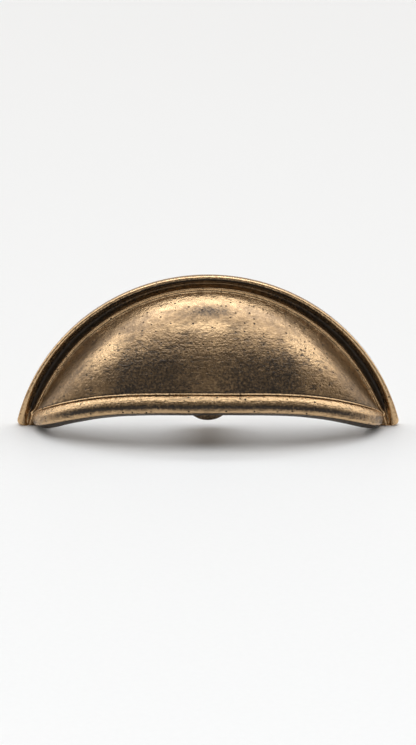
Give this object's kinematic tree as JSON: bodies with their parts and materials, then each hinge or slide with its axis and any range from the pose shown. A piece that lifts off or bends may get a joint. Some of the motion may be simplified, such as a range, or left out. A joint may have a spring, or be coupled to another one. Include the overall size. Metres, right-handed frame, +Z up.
{
  "type": "cup pull",
  "caption": "Half-round cup pull for a drawer, cast in one piece: a beaded flange carries a flared hood with a rolled lip, and a tapped boss inside takes a screw from behind.",
  "frame": {"origin": "centre of the screw hole's mouth, on the mounting face", "axes": "+X along the pull, +Y into the drawer front that the pull is screwed to, +Z up, from the open side of the cup to its crown"},
  "size_m": [0.0992, 0.024, 0.0395],
  "materials": {
    "aged_brass": "antique brass: dark brown patina in the recesses, rubbed golden edges and a satin, finely pitted face"
  },
  "bodies": {
    "root": {"cup_pull": "aged_brass"}
  },
  "joints": []
}
